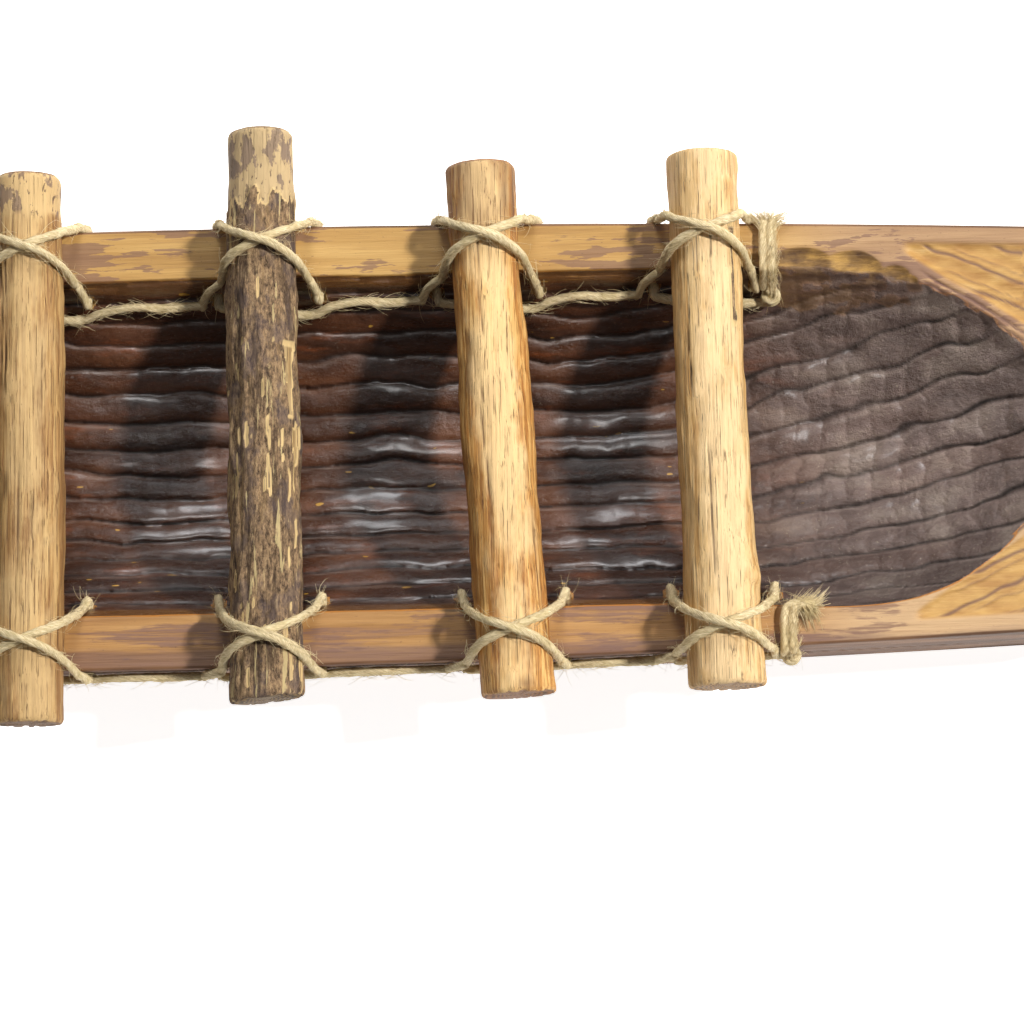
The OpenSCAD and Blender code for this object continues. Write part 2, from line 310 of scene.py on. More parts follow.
def rung_lashing(k, rail, inner):
    """The twine's whole way round one end of one rung."""
    x = rail_x(k, rail)
    left = x - HOLE_OFFSET
    right = x + HOLE_OFFSET
    rim = rung_size(k, rail * RAIL_MID) + TWINE
    high = RAIL_TOP - 1.2 * TWINE
    places = [
        face_place(inner, left - APPROACH, HOLE_Z),
        face_place(inner, left - APPROACH / 2, high),
    ]
    places += over_rim(inner, x, -1, rim)
    places += over_rung(k, rail, inner, 1, 0)
    places += over_rim(not inner, x, 1, rim)[::-1]
    places.append(face_place(not inner, right - 1, high))
    places += [hole_bend(not inner, right, turn) for turn in (0, 45, 90)]
    places += [hole_bend(inner, right, turn) for turn in (90, 45, 0)]
    places.append(face_place(inner, right - 1, high))
    places += over_rim(inner, x, 1, rim)
    places += over_rung(k, rail, inner, -1, 0.78 * TWINE)
    places += over_rim(not inner, x, -1, rim)[::-1]
    places.append(face_place(not inner, left + 1, high))
    places += [hole_bend(not inner, left, turn) for turn in (0, 45, 90)]
    places += [hole_turn(inner, left, turn) for turn in (0, 45, 90)]
    places += [
        face_place(inner, x - HOLE_OFFSET / 2, (HOLE_Z + RUN_Z) / 2),
        face_place(inner, x, RUN_Z),
        face_place(inner, x + HOLE_OFFSET / 2, RUN_Z),
        face_place(inner, right - TWINE_RADIUS, RUN_Z),
    ]
    return places


def raised(place, out):
    return (place[0], place[1] + out, place[2])


def tail(at, side, inner, across):
    """The free end beyond an end rung: a knot on the face, then across the rail top."""
    swell = KNOT_RADIUS - TWINE_RADIUS
    knot_out = (-1 if inner else 1) * swell
    places = [
        face_place(inner, at - side * 1.2 * TWINE, RUN_Z),
        raised(face_place(inner, at - side * 0.4 * TWINE, RUN_Z + 1), 0.2 * knot_out),
        raised(face_place(inner, at, HOLE_Z - 1), 0.5 * knot_out),
        raised(face_place(inner, at, RAIL_TOP - 0.65 * HOLE_DROP), 0.4 * knot_out),
        face_place(inner, at, RAIL_TOP - 0.35 * HOLE_DROP),
        rim_place(inner, at, 20),
        rim_place(inner, at, 65),
    ]
    for along, share in across:
        out = RAIL_MID + (1 if inner else -1) * share * RAIL_WIDTH
        places.append((at + side * along, out, RAIL_TOP + TWINE_LAY))
    return places


def slack_run(k, rail, inner):
    """The slack run from one rung to the next."""
    start = rail_x(k, rail) + HOLE_OFFSET
    end = rail_x(k + 1, rail) - HOLE_OFFSET
    steps = ((0.10, 3.5), (0.35, 6), (0.6, 5), (0.85, 6))
    return [face_place(inner, start + (end - start) * share, RUN_Z + dip) for share, dip in steps]


def lashing_route(rail, inner, across):
    """The twine's centre line from end to end, and where its two knots are."""
    last = len(RUNGS) - 1
    clear = HOLE_OFFSET + KNOT_RADIUS + TWINE_RADIUS + 0.5
    first_x = rail_x(0, rail) - clear - 1.4 * APPROACH
    last_x = rail_x(last, rail) + clear
    places = tail(first_x, -1, inner, across)[::-1]
    for k in range(len(RUNGS)):
        places += rung_lashing(k, rail, inner)
        if k < last:
            places += slack_run(k, rail, inner)
    places += tail(last_x, 1, inner, across)
    route = np.array(places)
    route[:, 1] *= rail
    return route, first_x, last_x


def smooth_line(points, step):
    """A Catmull-Rom curve through the points, cut into even steps."""
    points = np.asarray(points, float)
    padded = np.vstack([2 * points[0] - points[1], points, 2 * points[-1] - points[-2]])
    pieces = []
    for i in range(1, len(padded) - 2):
        a, b, c, d = padded[i - 1:i + 3]
        t = np.linspace(0, 1, 12, endpoint=False)[:, None]
        pieces.append(0.5 * (2 * b + (c - a) * t + (2 * a - 5 * b + 4 * c - d) * t**2
                             + (3 * b - a - 3 * c + d) * t**3))
    line = np.vstack(pieces + [points[-1:]])
    lengths = np.linalg.norm(np.diff(line, axis=0), axis=1)
    travelled = np.concatenate([[0], np.cumsum(lengths)])
    even = np.linspace(0, travelled[-1], max(3, int(travelled[-1] / step)))
    return np.stack([np.interp(even, travelled, line[:, i]) for i in range(3)], axis=1), even


def carried_frames(line):
    """The line's direction and two square-on directions that turn as little as they can."""
    along = np.gradient(line, axis=0)
    along /= np.linalg.norm(along, axis=1)[:, None]
    across = np.zeros_like(line)
    start = np.cross(along[0], (0.1, 0.3, 1))
    across[0] = start / np.linalg.norm(start)
    for i in range(1, len(line)):
        carried = across[i - 1] - along[i] * across[i - 1].dot(along[i])
        across[i] = carried / np.linalg.norm(carried)
    return along, across, np.cross(along, across)


PLIES = 3
PLY_PITCH = 30.0
TWINE_SIDES = 18
FIBRE_SIDES = 3
BRUSH_FIBRES = 150
LINE_STEP = 0.9


def twisted_rope(line, travelled, radius, seed):
    """Corners, faces and masks of a rope of three twisted plies round a line."""
    _, across, up = carried_frames(line)
    angle = ring_angles(TWINE_SIDES)
    twist = 2 * math.pi * travelled[:, None] / PLY_PITCH
    lobe = np.abs(np.cos(0.5 * PLIES * (angle[None, :] - twist)))
    wander = lattice_noise(seed, travelled / 17, np.full(len(line), 0.5))[:, None]
    strand = lattice_noise(seed + 1, travelled[:, None] / 7, angle[None, :] * 3.2)
    loft = lattice_noise(seed + 2, travelled[:, None] / 2.6, angle[None, :] * 5.0)
    size = radius * (0.82 + 0.10 * lobe + 0.13 * wander + 0.10 * strand + 0.06 * loft)
    corners = (line[:, None, :]
               + (size * np.cos(angle))[:, :, None] * across[:, None, :]
               + (size * np.sin(angle))[:, :, None] * up[:, None, :])
    faces = capped_band(len(line), TWINE_SIDES)
    fibre = (angle[None, :] - twist) * PLIES / (2 * math.pi) + 0 * travelled[:, None]
    masks = {"groove": (1 - lobe).ravel(), "strand": fibre.ravel(),
             "length": np.repeat(travelled / 10, TWINE_SIDES)}
    return corners.reshape(-1, 3), faces, masks


def gather(parts):
    """Several shapes' corners, faces and masks joined into one list of each."""
    corners = []
    faces = []
    masks = {}
    count = 0
    for part_corners, part_faces, part_masks in parts:
        corners.append(part_corners)
        faces += [[i + count for i in face] for face in part_faces]
        for label, values in part_masks.items():
            masks.setdefault(label, []).append(values)
        count += len(part_corners)
    return np.vstack(corners), faces, {label: np.concatenate(v) for label, v in masks.items()}


def fibre_tube(points, thick, shade):
    """One loose fibre: a thin tapered three-sided tube through its points."""
    _, across, up = carried_frames(points)
    taper = thick * np.linspace(1, 0.35, len(points))[:, None, None]
    angle = ring_angles(FIBRE_SIDES)
    ring = (np.cos(angle)[None, :, None] * across[:, None, :]
            + np.sin(angle)[None, :, None] * up[:, None, :])
    corners = (points[:, None, :] + taper * ring).reshape(-1, 3)
    total = len(corners)
    masks = {"groove": np.full(total, shade), "strand": np.full(total, shade * 7),
             "length": np.zeros(total)}
    return corners, capped_band(len(points), FIBRE_SIDES), masks


def loose_fibres(line, count, longest, seed):
    """Fibres that stand out of the twine and curl back along it."""
    rng = np.random.default_rng(seed)
    along, across, up = carried_frames(line)
    parts = []
    for _ in range(count):
        i = int(rng.integers(3, len(line) - 3))
        angle = rng.uniform(0, 2 * math.pi)
        out = math.cos(angle) * across[i] + math.sin(angle) * up[i]
        way = rng.choice((-1, 1)) * along[i]
        side = np.cross(out, way)
        length = longest * rng.uniform(0.25, 1) ** 1.6
        t = np.linspace(0, 1, 6)[:, None]
        lift = rng.uniform(0.15, 0.75)
        curl = rng.uniform(-0.5, 0.5)
        points = line[i] + out * TWINE_RADIUS * 0.85
        rising = out * lift * t * (1 - 0.45 * t)
        points = points + length * (way * t * (1 - 0.3 * lift) + rising + side * curl * t**2)
        parts.append(fibre_tube(points, rng.uniform(0.07, 0.19), rng.uniform(0, 0.4)))
    return gather(parts)


def knot_wraps(centre, rail, seed):
    """Two turns of twine drawn tight round the tail, standing on the rail's face."""
    turns = np.linspace(0, 2 * math.pi * 2.4, 60)
    reach = KNOT_RADIUS - 1.7
    x = centre[0] + reach * 1.15 * np.cos(turns)
    y = centre[1] + reach * np.sin(turns) * rail
    z = centre[2] - 4.2 + turns / (2 * math.pi) * 3.6
    line, travelled = smooth_line(np.stack([x, y, z], axis=1), LINE_STEP)
    return twisted_rope(line, travelled, 2.0, seed)


def frayed_end(at, way, seed):
    """The tail's last turn undone into a brush of fibres."""
    rng = np.random.default_rng(seed)
    way = np.array(way, float)
    way /= np.linalg.norm(way)
    side = np.cross(way, (0, 0, 1))
    parts = []
    for _ in range(BRUSH_FIBRES):
        length = rng.uniform(3.0, 8.5)
        t = np.linspace(0, 1, 7)[:, None]
        fan = rng.uniform(-1.5, 1.5)
        rise = rng.uniform(-0.3, 0.7)
        start = at - way * rng.uniform(0.5, 7) + side * rng.uniform(-1.6, 1.6)
        start = start + np.array((0, 0, rng.uniform(-1.2, 1.4)))
        points = start + length * (way * t + side * fan * t**1.6)
        points[:, 2] += length * rise * t[:, 0] * (1 - t[:, 0] * 0.8)
        points[:, 2] = np.maximum(points[:, 2], RAIL_TOP + 0.25)
        parts.append(fibre_tube(points, rng.uniform(0.14, 0.3), rng.uniform(0, 0.4)))
    return gather(parts)


def make_lashing(name, rail, inner, across, seed):
    """One rail's whole lashing, with its knots and frayed ends, as one piece of twine."""
    route, first_x, last_x = lashing_route(rail, inner, across)
    line, travelled = smooth_line(route, LINE_STEP)
    parts = [twisted_rope(line, travelled, TWINE_RADIUS * 0.98, seed)]
    for at in (first_x, last_x):
        knot_out = (-0.5 if inner else 0.5) * (KNOT_RADIUS - TWINE_RADIUS)
        centre = raised(face_place(inner, at, HOLE_Z - 1), knot_out)
        parts.append(knot_wraps((centre[0], centre[1] * rail, centre[2]), rail, seed + 5))
    beside, beside_travelled = smooth_line(line[-44:] + np.array((-3.9, 0, 0.1)), LINE_STEP)
    parts.append(twisted_rope(beside, beside_travelled, TWINE_RADIUS * 0.94, seed + 9))
    parts.append(frayed_end(line[-1], line[-1] - line[-6], seed + 6))
    parts.append(frayed_end(beside[-1], beside[-1] - beside[-6], seed + 10))
    parts.append(loose_fibres(line[-50:], 420, 11, seed + 12))
    parts.append(frayed_end(line[0], line[0] - line[5], seed + 7))
    parts.append(loose_fibres(line, 4200, 13, seed + 8))
    corners, faces, masks = gather(parts)
    return solid_mesh(name, corners, faces, masks)


far_twine = make_lashing("far_lashing_twine", 1, True, ((0, -0.22), (0, 0.08), (1, 0.33)), 11)
near_tail = ((0, -0.22), (0, 0.08), (1, 0.36), (5, 0.45), (11, 0.40))
near_twine = make_lashing("near_lashing_twine", -1, False, near_tail, 12)


# ---- the hull ----

def hull_half_width(x):
    past = np.maximum(0, np.abs(x) - NOSE_START)
    side = HALF_WIDTH - SIDE_RADIUS + np.sqrt(SIDE_RADIUS**2 - x * x)
    nose = np.sqrt(np.maximum(0, NOSE_RADIUS**2 - past**2))
    return np.minimum(side, np.where(past > 0, nose, side))


def sole_height(x):
    past = np.maximum(0, np.abs(x) - (HALF_LENGTH - UPSWEEP_LENGTH))
    return UPSWEEP_RADIUS - np.sqrt(UPSWEEP_RADIUS**2 - past**2)


def bilge_height(y):
    past = np.clip(np.abs(y) - (HALF_WIDTH + 1 - BILGE_RADIUS), 0, BILGE_RADIUS)
    return BILGE_RADIUS - np.sqrt(BILGE_RADIUS**2 - past**2)


# A height well above the rails, where a cut does not reach
UNCUT = RAIL_TOP + 60
END_STRETCH = 0.965
NEAR_FULLNESS = 0.14


def near_squeeze(x, side):
    """The hollow's ends are cut fuller on the near side, by so much of the distance across."""
    return 1 - NEAR_FULLNESS * (side < 0) * ease(np.abs(x), RAMP_START - 30, HOLLOW_END - 25)


def ramp_drop(x, z):
    """How far the hollow's section has swung up its ramp at a place and a height."""
    along = END_STRETCH * np.maximum(0, np.abs(x) - RAMP_START)
    return np.hypot(along, RAMP_AXIS_Z - z) - RAMP_RADIUS + HOLLOW_RADIUS


def rim_half_width(x, side):
    """Half-width of the hollow at the rail tops, 0 beyond its ends."""
    drop = ramp_drop(x, RAIL_TOP)
    return np.sqrt(np.maximum(0, HOLLOW_RADIUS**2 - drop**2)) / near_squeeze(x, side)


def hollow_surface(x, y):
    """Height of the plain hollow, well above the rails outside it."""
    across = y * near_squeeze(x, np.sign(y))
    outside = np.abs(across) >= HOLLOW_RADIUS * 0.995
    reach = RAMP_RADIUS - HOLLOW_RADIUS + np.sqrt(np.maximum(HOLLOW_RADIUS**2 - across**2, 0))
    along = END_STRETCH * np.maximum(0, np.abs(x) - RAMP_START)
    height = RAMP_AXIS_Z - np.sqrt(np.maximum(reach**2 - along**2, 1))
    return np.where(outside, UNCUT, height)


FLUTE_WIDTH = 13.2


def gouge_flutes(x, y):
    """How deep the gouge went below the plain hollow, and masks for painted shade in its creases, for its
    fresh cuts, and for a painted highlight along each strip.
    """
    arc = HOLLOW_RADIUS * np.arcsin(np.clip(y / HOLLOW_RADIUS, -1, 1))
    ramp = ease(np.abs(x), RAMP_START - 50, RAMP_START + 30)
    slant = 0.22 * np.maximum(np.abs(x) - RAMP_START + 40, 0)
    wander = (5.0 * layered_noise(41, x / 105, arc / 75, 2)
              + (1.7 + 1.1 * ramp) * layered_noise(42, x / 20, arc / 12, 2))
    place = (arc + wander - slant) / (FLUTE_WIDTH + 3.0 * ramp) + 40
    row = np.floor(place)
    share = place - row
    wobble = 0.22 * lattice_noise(48, x / 30, arc / 7)
    ahead = (x + 700) / 13 + 7 * cell_value(43, row, 0 * row) + wobble
    cut = np.floor(ahead)
    ahead = ahead - cut
    strength = 1 + 0.4 * lattice_noise(44, x / 60, row * 1.7)
    pillow = np.abs(2 * share - 1) ** 2.6
    scoop = 1 - (2 * share - 1) ** 2
    plain = RAIL_TOP - hollow_surface(x, y)
    far_rim = ramp * (1 - ease(plain, 5, 14)) * ease(y, -25, -5)
    near_rim = (1 - ease(plain, 2, 12)) * (1 - ease(y, -25, -5))
    cross = (1 - far_rim) * (2.3 * pillow + 0.9 * share) + far_rim * 2.3 * scoop
    ripple = layered_noise(47, x / 8.5, row * 2.7 + arc / 9, 2)
    dents = lattice_noise(40, x / 26, arc / 17)
    bowl = np.abs(2 * ahead - 1) ** 3
    depth = cross * strength + (0.15 + 0.75 * ramp) * bowl * (0.2 + cell_value(45, row, cut))
    depth = depth + 0.75 + (0.26 + 0.20 * ramp) * ripple + 0.4 * dents
    depth = depth * (1 - 0.8 * near_rim)
    edge = np.minimum(share, 1 - share)
    # Mask for painted shade along each crease.
    line = np.clip(1.25 - edge / 0.075, 0, 1) * (0.75 + 0.35 * lattice_noise(49, x / 20, row * 3.1))
    fresh = 0.5 + 0.5 * lattice_noise(46, x / 55, row * 2.3)
    crease = np.clip(line * (1 - 0.6 * far_rim), 0, 1)
    # A pale line along each strip, just short of its crease: a painted highlight.
    lip = np.clip(1 - np.abs(share - 0.86) / 0.08, 0, 1)
    lip = lip * (0.5 + 0.5 * lattice_noise(50, x / 14, row * 2.9))
    return np.maximum(depth, 0), crease, fresh, np.clip(lip, 0, 1)


# Bites out of the rim: place along the hull, side, half-length, half-width, and depth.
RIM_CHIPS = [
    (306, 1, 19, 8.5, 2.8), (329, 1, 20, 12.5, 3.6), (354, 1, 18, 13.5, 3.8), (375, 1, 10, 9.0, 3.2),
    (384, 1, 4, 6.0, 2.6), (-318, 1, 14, 6.5, 2.4), (-338, 1, 13, 7.0, 2.8), (-300, -1, 14, 5.0, 2.0),
    (-352, -1, 10, 5.0, 2.2), (152, -1, 12, 3.0, 1.4), (40, -1, 14, 2.6, 1.2), (-66, 1, 11, 3.0, 1.4),
    (96, 1, 10, 2.4, 1.1), (-180, -1, 12, 3.0, 1.4), (212, -1, 9, 2.6, 1.2),
]


def rim_chips(x, y):
    """Height of the shallow bites along the rim, well above the rails elsewhere."""
    height = np.full(np.broadcast(x, y).shape, UNCUT)
    stained = np.zeros_like(height)
    for at, side, half_long, half_wide, deep in RIM_CHIPS:
        centre = side * (float(rim_half_width(np.array(float(at)), side)) - 1)
        ragged = 0.10 * lattice_noise(51 + at % 7, x / 9, y / 6)
        reach = ((x - at) / half_long) ** 2 + ((y - centre) / half_wide) ** 2
        dish = RAIL_TOP - deep * (1 + ragged - reach)
        height = np.minimum(height, np.where(reach < 1.6, dish, UNCUT))
        if deep > 2.5:
            inward = centre - side * (4 + 0.07 * (360 - abs(at)))
            below = ((x - at) / (half_long + 2)) ** 2 + ((y - inward) / (0.85 * half_wide)) ** 2
            stained = np.maximum(stained, 1 - ease(below + 2.5 * ragged, 0.6, 1.15))
    patches = ease(layered_noise(57, x / 9, y / 4, 3) + 0.1, -0.18, 0.22)
    return height, stained * (0.1 + 0.75 * patches)


PANEL_START = 378.0
PANEL_MARGIN = 8.5


def nose_panel(x, y):
    """The carved field that sweeps round each nose: its depth, its place, and a mask of its tool lines for
    painted shade in them.
    """
    far = np.abs(x)
    out = np.abs(y)
    started = ease(far, PANEL_START, PANEL_START + 7)
    straight = 91 - 0.66 * np.maximum(far - PANEL_START, 0) + 1.0 * lattice_noise(61, x / 19, y / 19)
    reach = NOSE_START + 14 - 440
    round_end = (np.hypot(np.maximum(far - 440, 0) / (reach + 42) * 50.1, out) - 50.1) * 1.1
    inner_gap = np.where(far > 440, round_end, (out - straight) * 0.83)
    nose_gap = NOSE_RADIUS - np.hypot(far - NOSE_START, out)
    edge_gap = np.where(far > NOSE_START, nose_gap, hull_half_width(x) - out) - PANEL_MARGIN
    inside = np.minimum(edge_gap, inner_gap)
    field = ease(inside, -0.3, 2.6) * started
    swept = np.arctan2(out, np.maximum(far - 440, 1e-6)) / (math.pi / 2)
    turn = np.where(far > 440, swept, 1 + (far < 440) * (440 - far) / 72)
    swirl = inner_gap / 11.5 + 1.3 * turn + 0.10 * lattice_noise(62, x / 9, y / 9)
    rib = swirl - np.floor(swirl)
    rib_line = np.clip(1.2 - np.minimum(rib, 1 - rib) / 0.09, 0, 1) * ease(inside, 1.0, 2.6) * started
    second_rib = np.clip(1 - np.abs(rib - 0.32) / 0.07, 0, 1) * ease(inside, 3.0, 6.0) * started
    hollowed = (1 - (2 * rib - 1) ** 2) * (1 - 0.6 * np.clip(1 - np.abs(rib - 0.32) / 0.08, 0, 1))
    depth = field * (1.0 + 1.2 * hollowed * ease(inside, 0.5, 5)) + 0.8 * rib_line
    first = np.abs(inner_gap + 2.8 + 0.3 * lattice_noise(63, x / 7, y / 7))
    second = np.abs(inner_gap + 6.2 + 0.3 * lattice_noise(64, x / 7, y / 7))
    incised = np.clip(1 - first / 1.1, 0, 1) + np.clip(1 - second / 0.9, 0, 1)
    incised = incised * ease(far, PANEL_START + 8, PANEL_START + 20) * ease(edge_gap, -2, 1)
    depth = depth + 1.2 * incised
    # The tool lines' mask, for painted shade in the carved lines.
    marks = np.clip(incised + 0.9 * rib_line + 0.5 * second_rib, 0, 1)
    return depth, field, marks


def saddle_height(x, y):
    """Height of the saddles cut for the rungs, well above the rails elsewhere."""
    height = np.full(np.broadcast(x, y).shape, UNCUT)
    for k, row in enumerate(RUNGS):
        lean = math.radians(row[1])
        gap = np.abs((x - rung_x(k)) * math.cos(lean) + y * math.sin(lean))
        radius = rung_size(k, y) + SADDLE_GAP + 0.35
        dip = RUNG_AXIS_Z - np.sqrt(np.maximum(radius**2 - gap**2, 0))
        height = np.minimum(height, np.where(gap < radius, dip, UNCUT))
    return height


def deck_height(x, y):
    """The worn, slightly uneven top of the rails and decks."""
    hewn = 0.35 * layered_noise(71, x / 70, y / 26, 2) - 0.35
    grain = 0.10 * lattice_noise(72, x / 34, y / 1.5)
    return RAIL_TOP + hewn * 0.8 + grain - 0.1


def top_surface(x, y):
    """Height of the hull seen from above, and the masks that tell its finishes apart."""
    deck = deck_height(x, y)
    panel_depth, panel, marks = nose_panel(x, y)
    deck = deck - panel_depth
    flute, crease, fresh, lip = gouge_flutes(x, y)
    hollow = hollow_surface(x, y) - flute
    chips, stained = rim_chips(x, y)
    rough = 0.08 * layered_noise(73, x / 9, y / 5, 2)
    height = soft_min(deck, hollow, 1.6)
    inside = ease(deck - hollow, -0.2, 1.2)
    chipped = np.maximum(ease(height - chips, 0.0, 0.5), stained * (deck - hollow > -0.5))
    height = soft_min(height, chips + rough, 0.8)
    height = np.minimum(height, saddle_height(x, y))
    height = np.minimum(height, RAIL_TOP)
    masks = {"hollow": inside * (1 - 0.72 * chipped), "crease": crease * inside,
             "fresh": fresh, "panel": panel * (1 - inside), "marks": marks * (1 - inside),
             "chip": chipped, "lip": lip * inside, "side": np.zeros_like(height)}
    return height, masks


RAIL_LINES = 44
HOLLOW_LINES = 190
EDGE_WEAR = 1.8
EDGE_STEPS = 4
SIDE_ROWS = 28
SOLE_LINES = 44


def hull_stations():
    """Places along the hull, closer together round each nose."""
    nose = NOSE_START + NOSE_RADIUS * np.sin(np.radians(np.linspace(0, 89.75, 126)))
    straight = np.linspace(-NOSE_START, NOSE_START, 880)
    return np.concatenate([-nose[::-1], straight[1:-1], nose])


def notch_band(x, z):
    """Depth of the slanting notches cut in a band low along the sides."""
    band = ease(z, 33, 35) * (1 - ease(z, 42, 44))
    slant = (x + 0.55 * (z - 38)) / 8.5
    share = slant - np.floor(slant)
    cut = np.clip(1 - np.abs(share - 0.5) / 0.36, 0, 1)
    return band * cut * 1.3 * ease(lattice_noise(81, x / 75, 0 * x + 0.5), -0.35, -0.1)


def hull_section(x):
    """Corners and masks of every section of the hull, each one a closed loop."""
    width = hull_half_width(x)[:, None]
    wear = np.minimum(EDGE_WEAR, 0.45 * width)
    flat = width - wear
    far_rim = np.minimum(np.maximum(rim_half_width(x, 1)[:, None], 0.42 * width), 0.96 * flat)
    near_rim = np.minimum(np.maximum(rim_half_width(x, -1)[:, None], 0.42 * width), 0.96 * flat)
    rail_share = np.linspace(0, 1, RAIL_LINES + 1)[None, :]
    hollow_share = np.linspace(-1, 1, HOLLOW_LINES + 1)[None, :]
    near_rail = -flat + (flat - near_rim) * rail_share[:, :-1]
    far_rail = far_rim + (flat - far_rim) * rail_share[:, 1:]
    across_hollow = np.where(hollow_share > 0, far_rim, near_rim) * hollow_share
    y = np.concatenate([near_rail, across_hollow, far_rail], axis=1)
    xs = np.broadcast_to(x[:, None], y.shape)
    z, masks = top_surface(xs, y)
    low_edge = np.maximum(sole_height(x)[:, None], bilge_height(width))
    rows = []
    for side in (1, -1):
        edge = z[:, -1:] if side > 0 else z[:, :1]
        turn = np.radians(np.linspace(0, 90, EDGE_STEPS + 1)[1:])[None, :]
        bend_y = flat + wear * np.sin(turn)
        bend_z = edge - wear * (1 - np.cos(turn))
        drop = np.linspace(0, 1, SIDE_ROWS + 1)[None, 1:]
        side_z = bend_z[:, -1:] + (low_edge - bend_z[:, -1:]) * drop
        side_x = np.broadcast_to(x[:, None], side_z.shape)
        notch = notch_band(side_x, side_z)
        hewn = 0.5 * layered_noise(82 + side, side_x / 60, side_z / 17, 3) - 0.5
        fade = np.minimum(1, width / 40)
        side_width = width + (0.7 * hewn - notch) * fade
        across = np.concatenate([bend_y, side_width + 0 * drop], axis=1)
        up = np.concatenate([bend_z, side_z], axis=1)
        if side < 0:
            across = across[:, ::-1]
            up = up[:, ::-1]
        rows.append((side * across, up))
    sweep = np.sin(np.linspace(-1, 1, SOLE_LINES + 1)[None, 1:-1] * math.pi / 2)
    sole_y = -width * sweep
    sole_x = np.broadcast_to(x[:, None], sole_y.shape)
    sole_z = np.maximum(sole_height(x)[:, None], bilge_height(sole_y))
    scrape = 0.35 + 0.3 * layered_noise(85, sole_x / 80, sole_y / 7, 3)
    sole_z = sole_z + np.maximum(scrape, 0) * np.minimum(1, (width - np.abs(sole_y)) / 6)
    all_y = np.concatenate([y, rows[0][0], sole_y, rows[1][0]], axis=1)
    all_z = np.concatenate([z, rows[0][1], sole_z, rows[1][1]], axis=1)
    all_x = np.broadcast_to(x[:, None], all_y.shape)
    around = all_y.shape[1]
    full = {}
    for label, values in masks.items():
        rest = np.zeros((len(x), around - y.shape[1]))
        if label == "side":
            rest = rest + 1
        full[label] = np.concatenate([values, rest], axis=1)
    return np.stack([all_x, all_y, all_z], axis=-1), full, around


def make_hull():
    """The hollowed log as one solid, then bored for the lashing."""
    x = hull_stations()
    corners, masks, around = hull_section(x)
    faces = capped_band(len(x), around)
    flat_masks = {label: values.ravel() for label, values in masks.items()}
    hull = solid_mesh("hull_timber", corners.reshape(-1, 3), [face[::-1] for face in faces], flat_masks)
    bore_holes(hull)
    return hull


DRILL_SIDES = 20


def bore_holes(hull):
    """Bores a lashing hole each side of every rung, through both rails."""
    parts = []
    angle = ring_angles(DRILL_SIDES)
    for k in range(len(RUNGS)):
        for rail in (-1, 1):
            for side in (-1, 1):
                at = rail_x(k, rail) + side * HOLE_OFFSET
                ring = np.stack([at + HOLE_DIAMETER / 2 * np.cos(angle), 0 * angle,
                                 HOLE_Z + HOLE_DIAMETER / 2 * np.sin(angle)], axis=1)
                start = ring + (0, rail * 60, 0)
                end = ring + (0, rail * (HALF_WIDTH + 4), 0)
                corners = np.vstack([start, end])
                faces = capped_band(2, DRILL_SIDES)
                if rail > 0:
                    faces = [face[::-1] for face in faces]
                parts.append((corners, faces, {}))
    corners, faces, _ = gather(parts)
    drills = solid_mesh("drills", corners, faces)
    bore = hull.modifiers.new("lashing_holes", "BOOLEAN")
    bore.operation = "DIFFERENCE"
    bore.solver = "MANIFOLD"
    bore.object = drills
    graph = bpy.context.evaluated_depsgraph_get()
    bored = bpy.data.meshes.new_from_object(hull.evaluated_get(graph))
    hull.modifiers.clear()
    if len(bored.vertices) == len(hull.data.vertices):
        raise ValueError("the lashing holes could not be bored")
    hull.data = bored
    bored.polygons.foreach_set("use_smooth", [True] * len(bored.polygons))
    bpy.data.objects.remove(drills)


hull_timber = make_hull()


# ---- the rungs ----

def end_profile(kind):
    """How a rung's end closes: steps of distance back from the tip and share of the radius."""
    if kind == "domed":
        turns = np.radians(np.linspace(0, 82, 8))
        return [(4.2 * (1 - math.sin(a)), 1 - 0.24 * (1 - math.cos(a))) for a in turns]
    return [(2.6, 1.0), (1.2, 0.985), (0.45, 0.955), (0.1, 0.91), (0.0, 0.84)]


ROUND = 120
STEP = 1.25


def turn_gap(angle, middle):
    """How far an angle is from another, the short way round."""
    return np.abs(np.angle(np.exp(1j * (angle - middle))))


